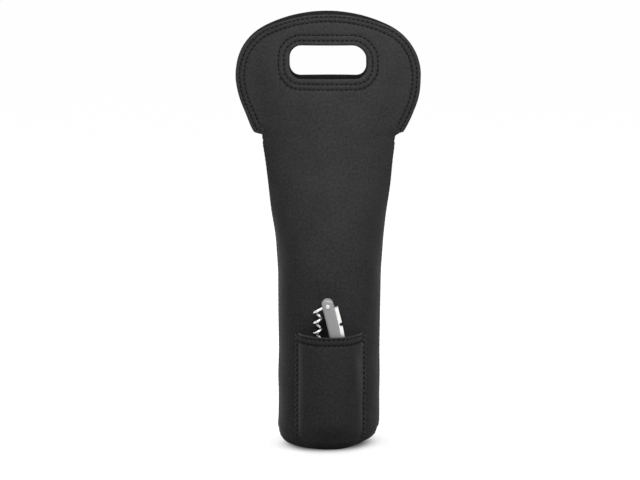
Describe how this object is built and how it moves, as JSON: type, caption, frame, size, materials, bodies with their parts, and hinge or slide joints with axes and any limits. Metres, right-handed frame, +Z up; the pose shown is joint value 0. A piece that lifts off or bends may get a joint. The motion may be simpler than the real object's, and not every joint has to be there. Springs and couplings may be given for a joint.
{
  "type": "bottle carrier",
  "caption": "Soft neoprene carrier for a single wine bottle, with rounded hand lobes, oval hand slots and a front pocket that holds a folding corkscrew.",
  "frame": {"origin": "on the floor at the centre of the round base", "axes": "+Z up, front with the pocket towards -Y, +X to the right as seen from the front"},
  "size_m": [0.153, 0.0998, 0.3607],
  "materials": {
    "neoprene": "matte",
    "handle_plastic": "satin",
    "spacer_plastic": "satin",
    "bright_steel": "polished"
  },
  "bodies": {
    "carrier": {"front_panel": "neoprene", "back_panel": "neoprene", "base_panel": "neoprene", "pocket_panel": "neoprene", "front_slot_facing": "neoprene", "back_slot_facing": "neoprene"},
    "corkscrew": {"corkscrew_front_scale": "handle_plastic", "corkscrew_back_scale": "handle_plastic", "corkscrew_spacer": "spacer_plastic", "corkscrew_upper_pin": "bright_steel", "corkscrew_lower_pin": "bright_steel", "corkscrew_pivot_rivet": "bright_steel"},
    "lever": {"corkscrew_lever": "bright_steel"},
    "worm": {"corkscrew_worm": "bright_steel"}
  },
  "joints": [
    {"name": "corkscrew_lift", "type": "slide", "parent": "carrier", "child": "corkscrew", "axis": [0, 0, 1], "range_m": [0, 0.11]},
    {"name": "worm_fold", "type": "hinge", "parent": "corkscrew", "child": "worm", "pos_m": [-0.0007, -0.04915, 0.12457], "axis": [0, 1, 0], "range_deg": [-10, 4]},
    {"name": "lever_fold", "type": "hinge", "parent": "corkscrew", "child": "lever", "pos_m": [-0.0007, -0.04915, 0.12457], "axis": [0, -1, 0], "range_deg": [0, 3]}
  ]
}
